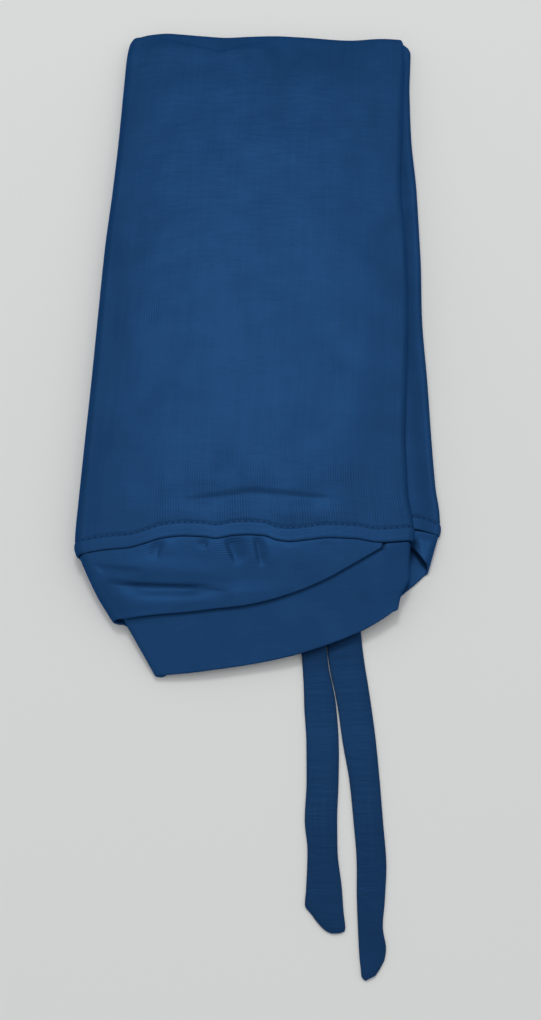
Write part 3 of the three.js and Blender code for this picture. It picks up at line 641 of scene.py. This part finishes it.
# Its long fold and its gathers, in the columns of the tube's folds.
band_folds = [
    (-54, -65.0, -12, -68.5, 3.5, 4, 0.35),
    (-55, -69.8, -44, -71.5, 1.5, 0.5, -0.35),
    (-51, -71.3, -22, -72.5, 4.0, 0.6, -1.85),
    (-27, -72.2, -13, -74.8, 3.5, 0.8, -0.5),
    (-40, -78, 12, -74.5, 4, 3.5, 0.35),
    (-62, -64.0, -44, -66.8, 3.0, 0.8, -0.6),
    (-36.8, -52, -38.2, -61.5, 2.6, 1.3, -0.85),
    (-33.5, -53, -33, -60, 2.2, 2.2, 0.2),
    (-19.6, -52, -20.2, -57.5, 2.2, 0.8, -0.6),
    (-12.6, -52, -8.6, -63, 0.9, 3.2, -1.0),
    (-1.4, -52, 0.8, -64, 0.8, 2.3, -0.85),
    (-10, -50, -6, -62, 3.2, 3.2, -0.4),
    (3, -54, 5, -64, 2.2, 2.2, 0.2),
    (11, -55, 14, -66, 3.0, 3.0, 0.25),
    (24, -55, 30, -62, 2.5, 2.5, -0.15),
]
gather_fade = 3
# Its free edge: on the cap, on the floor, and where it wraps round the side fold (x, y).
outer_edge_upper = through(
    (-49.6, -84.3), (-46, -84.1), (-42.7, -83.7), (-35.2, -83.0), (-27.8, -82.5), (-16.6, -81.3),
    (-5.4, -79.9), (6.7, -77.2), (16.1, -73.9), (25.6, -69.4), (35.2, -63.8), (41.9, -59.7), (46.2, -57.0),
)
outer_edge_lower = through(
    (-49.6, -84.5), (-46, -86.4), (-40, -91.8), (-30, -97.4), (0, -97.0), (20, -91.5), (38, -83.5),
    (50, -75.6), (57.3, -69.4), (61.2, -65.9), (62.8, -63.9),
)
outer_edge_wrap = through((52.5, -49.6), (58.1, -54.2), (62.6, -60.9))
outer_reach = 2.9
# The cloth starts a little lower than the hem, swells out below it, falls towards its free edge, and falls
# more beside its own fold.
seam_sink = 0.35
swell_high = 0.4
swell_at = 8
fall_per_mm = 0.12
fold_fall = 1.5
fold_fall_depth = 20
fold_fall_width = 9


def beside_outer_fold(y):
    return outer_band_fold(y) + band_thick / 2 + outer_reach


def drape(x, y):
    """Height of the cloth that hangs out of the upper hem, before its folds."""
    left = forehead_fold(hem_line) + jersey_thick / 2 + forehead_reach
    right = upper_side_fold(hem_line) - jersey_thick / 2 - upper_side_reach
    f = np.clip((x - left) / (right - left), 0, 1)
    below = np.maximum(0, hem_edge[4](x) - y)
    from_fold = np.maximum(0, x - outer_band_fold(y))
    at_hem = front_high(0.0, f, x, hem_line) - seam_sink
    swell = swell_high * below / swell_at * np.exp(1 - below / swell_at)
    beside_fold = fold_fall * ease(below / fold_fall_depth) * np.exp(-from_fold / fold_fall_width)
    return at_hem + swell - fall_per_mm * below - beside_fold


def gathers(x, y):
    below = hem_edge[4](x) - y
    from_fold = x - beside_outer_fold(y)
    return relief(band_folds, x, y) * ease(below / gather_fade) * ease(from_fold / gather_fade)


def flat_leg(hem_from, hem_to, edge_from, edge_to, hem_y, edge_y, height):
    """A flat stretch of a band between its seam at the hem (d = 0) and its free edge (d = 1)."""

    def point(f, d):
        x_hem = mix(hem_from, hem_to, f)
        x_edge = mix(edge_from, edge_to, f)
        x = mix(x_hem, x_edge, d)
        y = mix(hem_y(x_hem), edge_y(x_edge), d)
        return np.stack(np.broadcast_arrays(x, y, height(x, y)), axis=-1)

    return point


def fold_between(leg_a, f_a, leg_b, f_b, side, reach):
    """A fold from one leg's end to the next one's start."""

    def point(turn, d):
        part = ((1 - np.cos(turn)) / 2)[..., None]
        bent = mix(leg_a(f_a, d), leg_b(f_b, d), part)
        bent[..., 0] += side * reach * np.sin(turn)
        return bent

    return point


def along_side(leg, end, side_x, height):
    """The same leg with its side at f = end moved onto the line x = side_x(y), and the third of the leg
    beside it moved along."""

    def point(f, d):
        place = leg(f, d)
        side = leg(end, d)
        place[..., 0] += (side_x(side[..., 1]) - side[..., 0]) * ease(1 - 3 * np.abs(end - f))
        place[..., 2] = height(place[..., 0], place[..., 1])
        return place

    return point


def edge_rows(count):
    """Rows from 0 to 1 that crowd at both edges, where the cloth is rounded."""
    return (0.5 - 0.5 * np.cos(np.linspace(0, math.pi, count)))[:, None]


sewn_edge_steepness = 3


def closed_cloth(name, middle, thick, finish, lift=0.0):
    """Cloth of the given thickness round a grid of points, with rounded edges all round and raised by
    `lift`. The first row's edge is rounded less, since it is sewn in."""
    across = np.gradient(middle, axis=1)
    down = np.gradient(middle, axis=0)
    normal = np.cross(down, across)
    normal /= np.maximum(np.linalg.norm(normal, axis=-1, keepdims=True), 1e-9)
    step_down = np.linalg.norm(np.diff(middle, axis=0), axis=-1)
    step_across = np.linalg.norm(np.diff(middle, axis=1), axis=-1)
    none_down = np.zeros((1, middle.shape[1]))
    none_across = np.zeros((middle.shape[0], 1))
    from_top = np.concatenate([none_down, np.cumsum(step_down, axis=0)])
    from_start = np.concatenate([none_across, np.cumsum(step_across, axis=1)], axis=1)
    from_free_edge = from_top[-1:] - from_top
    from_end = from_start[:, -1:] - from_start
    edge = np.minimum.reduce([sewn_edge_steepness * from_top, from_free_edge, from_start, from_end])
    half = (thick / 2 * lip(np.maximum(edge, 0), thick / 2))[..., None]
    raised = middle.copy()
    raised[..., 2] += lift
    over = raised + normal * half
    under = (raised - normal * half)[1:-1, 1:-1]
    rows, columns = edge.shape
    front = numbered(rows, columns)
    back = front.copy()
    back[1:-1, 1:-1] = numbered(rows - 2, columns - 2, front.size)
    places = map_grid(from_start[rows // 2][None, :], from_top)
    quads = [*grid_quads(front).tolist(), *grid_quads(back)[:, ::-1].tolist()]
    map_quads = [*grid_quads(front).tolist(), *grid_quads(front)[:, ::-1].tolist()]
    points = np.concatenate([over.reshape(-1, 3), under.reshape(-1, 3)])
    return cloth_piece(name, points, quads, places, map_quads, finish)


# The same jersey as the tube, but its middle colour is painted lighter: painted light for the light the bands
# catch.
band_jersey = jersey(
    "band_jersey", middle=(0.0130, 0.0545, 0.152), wale_across_map=1, ribs=0.05,
    drawn=[(45, 61), (80, 85)], drawn_depth=7, crinkle=0.5,
)

# Where the band ends and turns, at the hem and at its free edge: its upper end, its own fold, and its turn
# round the lower half's side fold. Past that turn it puffs up a little beside the inner band.
upper_end_hem = 46.6
upper_end_edge = 46.2
outer_fold_hem_y = -58
outer_fold_edge_y = -84.9
outer_fold_inset = 0.6
outer_fold_hem = float(forehead_fold(outer_fold_hem_y)) + jersey_thick / 2 + forehead_reach + outer_fold_inset
outer_fold_edge = float(outer_band_fold(outer_fold_edge_y)) + band_thick / 2 + outer_reach
outer_turn_hem = 66.6
outer_turn_edge = 62.3
outer_turn_reach = 1.1
wrap_end = 52.5
floor_seam_gap = 0.9
wrap_seam_gap = 0.45
wrap_level = 2.6
wrap_puff = 1.2
wrap_puff_from = 57
wrap_puff_fade = 5
wrap_puff_depth = 6


def on_floor(x, y):
    return np.full(np.broadcast(x, y).shape, band_thick / 2)


def wrap_height(x, y):
    outwards = ease((x - wrap_puff_from) / wrap_puff_fade)
    return wrap_level + wrap_puff * outwards * ease((hem_edge[2](x) - y) / wrap_puff_depth)


upper_flat = flat_leg(
    upper_end_hem, outer_fold_hem, upper_end_edge, outer_fold_edge,
    lambda x: hem_edge[4](x) - seam_gap, outer_edge_upper, drape,
)
lower_flat = flat_leg(
    outer_fold_hem, outer_turn_hem, outer_fold_edge, outer_turn_edge,
    lambda x: hem_edge[1](x) - floor_seam_gap, outer_edge_lower, on_floor,
)
wrapped = flat_leg(
    outer_turn_hem, wrap_end, outer_turn_edge, wrap_end,
    lambda x: hem_edge[2](x) - wrap_seam_gap, outer_edge_wrap, wrap_height,
)
upper = along_side(upper_flat, 1.0, beside_outer_fold, drape)
lower = along_side(lower_flat, 0.0, beside_outer_fold, on_floor)
own_fold = fold_between(upper, 1.0, lower, 0.0, -1, outer_reach)
side_turn = fold_between(lower, 1.0, wrapped, 0.0, 1, outer_turn_reach)
outer_columns = {"front": 190, "fold": 16, "floor": 36, "turn": 12, "wrap": 24}
outer_band_rows = edge_rows(140)
outer_front = upper(even(outer_columns["front"]), outer_band_rows)
outer_band_middle = np.concatenate([
    outer_front,
    own_fold(turning(outer_columns["fold"]), outer_band_rows),
    lower(even(outer_columns["floor"]), outer_band_rows),
    side_turn(turning(outer_columns["turn"]), outer_band_rows),
    wrapped(even(outer_columns["wrap"]), outer_band_rows),
], axis=1)
outer_lift = np.zeros(outer_band_middle.shape[:2])
outer_lift[:, : outer_front.shape[1]] = gathers(outer_front[..., 0], outer_front[..., 1])
outer_band = closed_cloth("front_band_outer", outer_band_middle, band_thick, band_jersey, outer_lift)
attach(outer_band, "root")
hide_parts("front_band_over")

# The inner front band: the same doubled strip, mirrored. It comes out from beneath the outer one, shows as
# a smooth plain panel with a folded free edge, and wraps round the upper side fold.
clear_of_outer = 0.38
under_by = band_thick + clear_of_outer
# Its own fold and its side at the upper side fold: (y, x). Its free edge on the cap and beneath: (x, y).
inner_band_fold = through((-105.4, -37.0), (-97.2, -42.4), (-87.6, -49.2), (-58.5, -64.6))
inner_band_side = through(
    (-81.2, 51.3), (-74.5, 53.0), (-72.4, 54.2), (-66.9, 56.4), (-62.7, 56.4), (-55, 57.0),
)
inner_edge_upper = through(
    (-34.2, -105.1), (-25.5, -104.5), (-7.1, -102.1), (11.3, -98.5), (22, -95.2), (37.4, -88.9), (45, -84.5),
    (50.0, -80.9),
)
inner_edge_lower = through((-34.2, -105.3), (-20, -96), (0, -87), (20, -75), (36, -63), (44, -56))
inner_fold_reach = 2.3
inner_side_reach = 1.1
inner_edge_slant = 0.75
# It sinks beside its own fold, towards its free edge. The outer band presses it down where it covers it.
# It rises to the hem where nothing covers it.
sink = 0.3
sink_width = 7
sink_from = -70
sink_fade = 20
press = 0.6
press_fade = 6
press_end = 50
press_end_fade = 5
bare_from = 45.9
bare_fade = 2.2
bare_depth = 10


def inner_band_height(x, y):
    from_fold = np.maximum(0, x - inner_band_fold(y))
    beside_fold = sink * np.exp(-from_fold / sink_width) * ease((sink_from - y) / sink_fade)
    covered = press * ease((y - outer_edge_upper(x)) / press_fade) * ease((press_end - x) / press_end_fade)
    bare = ease((x - bare_from) / bare_fade) * ease(1 - (hem_edge[4](x) - y) / bare_depth)
    return drape(x, y) - under_by - beside_fold - covered + bare


def beside_inner_side(y):
    return inner_band_side(y) - band_thick / 2 - inner_side_reach


inner_side_hem = 55.3
inner_side_edge = 49.7
inner_fold_hem_y = -58.5
inner_fold_edge_y = -105.3
inner_fold_outset = 0.2
inner_fold_hem = float(inner_band_fold(inner_fold_hem_y)) + band_thick / 2 + inner_fold_reach
inner_fold_edge = (
    float(inner_band_fold(inner_fold_edge_y)) + band_thick / 2 + inner_fold_reach - inner_fold_outset
)
inner_flat = flat_leg(
    inner_side_hem, inner_fold_hem, inner_side_edge, inner_fold_edge,
    lambda x: hem_edge[4](x) - seam_gap, inner_edge_upper, inner_band_height,
)
inner_upper = along_side(inner_flat, 0.0, beside_inner_side, inner_band_height)

# What wraps under the side fold: its length, the rise of its rows and its height.
inner_wrap_hem = 10
inner_wrap_edge = 3
inner_wrap_rise_hem = 0.02
inner_wrap_rise_edge = 1.4
inner_wrap_high = 4.3


def inner_wrap(f, d):
    """f = 1 is at the fold."""
    start = inner_upper(0.0, d)
    run = mix(inner_wrap_hem, inner_wrap_edge, d) * (1 - f)
    rise = run * mix(inner_wrap_rise_hem, inner_wrap_rise_edge, d)
    x = start[..., 0] - run
    y = start[..., 1] + 2 * inner_edge_slant * inner_side_reach * d + rise
    return np.stack(np.broadcast_arrays(x, y, inner_wrap_high), axis=-1)


# What lies back under itself: where it ends, how near it comes to the hem, and its height on the floor and
# on the outer band.
inner_end_hem = 44.5
inner_end_edge = 44
inner_hem_nearest = -51.5
inner_hem_gap = 0.3
inner_on_floor = 0.75
inner_on_band = 1.9
band_step_before = 9
band_step_fade = 4


def inner_lower_hem(x):
    return np.minimum(inner_hem_nearest, hem_edge[1](x) - inner_hem_gap)


def inner_lower_height(x, y):
    over_band = ease((y - outer_edge_lower(x) + band_step_before) / band_step_fade)
    return mix(inner_on_floor, inner_on_band, over_band)


inner_lower = flat_leg(
    inner_fold_hem, inner_end_hem, inner_fold_edge, inner_end_edge,
    inner_lower_hem, inner_edge_lower, inner_lower_height,
)
inner_side_turn = fold_between(inner_wrap, 1.0, inner_upper, 0.0, 1, inner_side_reach)
inner_own_fold = fold_between(inner_upper, 1.0, inner_lower, 0.0, -1, inner_fold_reach)
inner_columns = {"wrap": 14, "turn": 12, "front": 130, "fold": 16, "back": 50}
inner_band_rows = edge_rows(70)
inner_band_middle = np.concatenate([
    inner_wrap(even(inner_columns["wrap"]), inner_band_rows),
    inner_side_turn(turning(inner_columns["turn"]), inner_band_rows),
    inner_upper(even(inner_columns["front"]), inner_band_rows),
    inner_own_fold(turning(inner_columns["fold"]), inner_band_rows),
    inner_lower(even(inner_columns["back"]), inner_band_rows),
], axis=1)
inner_band = closed_cloth("front_band_inner", inner_band_middle, band_thick, band_jersey)
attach(inner_band, "root")
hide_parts("front_band_under")

# The two ties: narrow strips of jersey sewn into flat tubes and turned right side out, with slanted ends.
# They are sewn to the back panel's hem, one on each half, and lie out flat on the floor.
tie_thick = 1.1
# The same jersey as the tube, but its middle colour is painted darker: painted shade for the lesser light on
# the ties.
tie_jersey = jersey("tie_jersey", middle=(0.0102, 0.0405, 0.112), ribs=0.35, crinkle=1.4)
# Sections: left edge (x, y), right edge (x, y), height of the middle, fullness.
tie_sections = {
    "tie_left": [
        (13.6, -47.9, 24.0, -47.9, 4.1, 1),
        (13.8, -53, 24.1, -53, 3.6, 1),
        (14.4, -70, 24.3, -70, 3.15, 1),
        (15.1, -84, 24.6, -84, 3.0, 1),
        (15.6, -94, 24.9, -93.5, 1.65, 1),
        (16.1, -102, 25.6, -101.5, 0.7, 1),
        (16.4, -109, 26.9, -108.6, 0.55, 1),
        (16.5, -116, 27.9, -115.6, 0.55, 1),
        (17.1, -130, 28.6, -130, 0.55, 1),
        (17.0, -144, 28.2, -144, 0.55, 1),
        (16.2, -158, 27.4, -158, 0.55, 1),
        (17.0, -168, 27.3, -168, 0.55, 1),
        (16.4, -181, 28.5, -181.5, 0.55, 1),
        (15.9, -186.6, 28.8, -188, 0.55, 1),
        (18.1, -189.7, 29.1, -191.2, 0.55, 1),
        (20.7, -193.1, 29.3, -193.9, 0.55, 0.97),
        (23.0, -195.2, 29.0, -195.2, 0.53, 0.85),
        (24.6, -195.9, 27.4, -195.8, 0.5, 0.6),
    ],
    "tie_right": [
        (25.2, -47.3, 36.4, -47.3, 2.72, 1),
        (25.2, -49.6, 36.4, -49.6, 3.0, 1),
        (25.3, -53, 36.5, -53, 3.2, 1),
        (25.4, -70, 36.9, -70, 3.15, 1),
        (25.5, -82, 37.3, -81, 2.5, 1),
        (25.25, -94, 38.0, -92.5, 0.8, 1),
        (25.95, -102, 38.8, -101, 0.55, 1),
        (27.25, -109, 39.7, -108.4, 0.55, 1),
        (28.4, -116, 40.5, -115.6, 0.55, 1),
        (30.0, -130, 41.8, -130, 0.55, 1),
        (32.0, -144, 42.6, -144, 0.55, 1),
        (33.0, -158, 43.2, -158, 0.55, 1),
        (33.7, -172, 43.8, -172, 0.55, 1),
        (33.4, -185, 42.8, -185, 0.55, 1),
        (33.5, -195, 41.8, -194, 0.55, 1),
        (33.7, -203, 42.6, -200.5, 0.55, 1),
        (34.0, -207, 42.1, -203.8, 0.55, 1),
        (34.2, -209.6, 40.6, -206.8, 0.54, 0.92),
        (35.4, -211.0, 38.8, -209.4, 0.5, 0.65),
    ],
}
# A tie's cross-section is a flat bar with round corners. Its rows stand closer together at the free end.
corner_power = 0.55
face_power = 0.8
tie_around = 24
row_step = 0.9
even_rows_end = 4
close_rows_start = 3.6
close_rows = 12
rim_points = 36
rim = np.linspace(0, 2 * math.pi, rim_points, endpoint=False)
profile_across = np.sign(np.cos(rim)) * np.abs(np.cos(rim)) ** corner_power
profile_up = np.sign(np.sin(rim)) * np.abs(np.sin(rim)) ** face_power
rim_turn = np.linspace(0, tie_around, rim_points + 1)

for name, sections in tie_sections.items():
    sections = np.array(sections, float)
    centres = np.stack([(sections[:, 0] + sections[:, 2]) / 2, (sections[:, 1] + sections[:, 3]) / 2])
    run = np.concatenate([[0], np.cumsum(np.hypot(*np.diff(centres, axis=1)))])
    length = float(run[-1])
    along = np.concatenate([
        np.arange(0, length - even_rows_end, row_step),
        np.linspace(length - close_rows_start, length, close_rows),
    ])
    lx, ly, rx, ry, z, full = (through(*zip(run, column))(along)[:, None] for column in sections.T)
    x = (lx + rx) / 2 + (rx - lx) / 2 * profile_across
    y = (ly + ry) / 2 + (ry - ly) / 2 * profile_across
    high = z + profile_up * tie_thick / 2 * full
    rings = np.stack([x, y, high], axis=-1)
    index = numbered(len(along), rim_points)
    map_index = numbered(len(along), rim_points + 1)
    ends = [index[0][::-1].tolist(), index[-1].tolist()]
    map_ends = [map_index[0][:-1][::-1].tolist(), map_index[-1][:-1].tolist()]
    tie = cloth_piece(
        name.replace("tie_", "tie_strip_"), rings.reshape(-1, 3),
        [*grid_quads(ring_closed(index)).tolist(), *ends],
        map_grid(rim_turn[None, :], along[:, None]),
        [*grid_quads(map_index).tolist(), *map_ends],
        tie_jersey,
    )
    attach(tie, "root")
    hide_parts(name)

# A plain pale floor, one broad soft lamp behind and above, a little to the left, and even light around.
floor_mesh = bpy.data.meshes.new("floor")
far = 3.0
floor_mesh.from_pydata([(-far, -far, 0), (far, -far, 0), (far, far, 0), (-far, far, 0)], [], [(0, 1, 2, 3)])
floor = bpy.data.objects.new("floor", floor_mesh)
bpy.context.scene.collection.objects.link(floor)
paper = bpy.data.materials.new("pale_paper")
paper.use_nodes = True
paper_shader = paper.node_tree.nodes["Principled BSDF"]
paper_shader.inputs["Base Color"].default_value = (0.752, 0.765, 0.76, 1)
paper_shader.inputs["Roughness"].default_value = 0.9
paper_shader.inputs["Specular IOR Level"].default_value = 0.1
floor_mesh.materials.append(paper)

lamp = bpy.data.lights.new("soft_lamp", "AREA")
lamp.shape = "RECTANGLE"
lamp.size = 0.42
lamp.size_y = 0.42
lamp.energy = 5.8
lamp.color = (1.0, 0.99, 0.98)
lamp_object = bpy.data.objects.new("soft_lamp", lamp)
lamp_object.location = (-0.05, 0.88, 1.35)
lamp_object.rotation_euler = (math.radians(-33), 0, 0)
bpy.context.scene.collection.objects.link(lamp_object)

world = bpy.data.worlds.new("even_light")
world.use_nodes = True
world.node_tree.nodes["Background"].inputs["Color"].default_value = (0.995, 1.0, 1.0, 1)
world.node_tree.nodes["Background"].inputs["Strength"].default_value = 0.69
bpy.context.scene.world = world
bpy.context.scene.view_settings.view_transform = "Standard"

# The camera looks down on the lying cap from its mouth's side, as the photograph does. Its distance from
# the picture plane is given in pixels of a picture 1020 high.
look_down = math.radians(62)
camera_high = 477.2
camera_back = -290.0
camera_aside = 4.4
picture_distance = 1400
picture_high = 1020
camera = bpy.data.cameras.new("camera")
camera.sensor_width = 36
camera.lens = picture_distance * camera.sensor_width / picture_high
camera.clip_start = 0.01
camera_object = bpy.data.objects.new("camera", camera)
camera_object.location = (camera_aside * mm, camera_back * mm, camera_high * mm)
camera_object.rotation_euler = (math.pi / 2 - look_down, 0, 0)
bpy.context.scene.collection.objects.link(camera_object)
bpy.context.scene.camera = camera_object
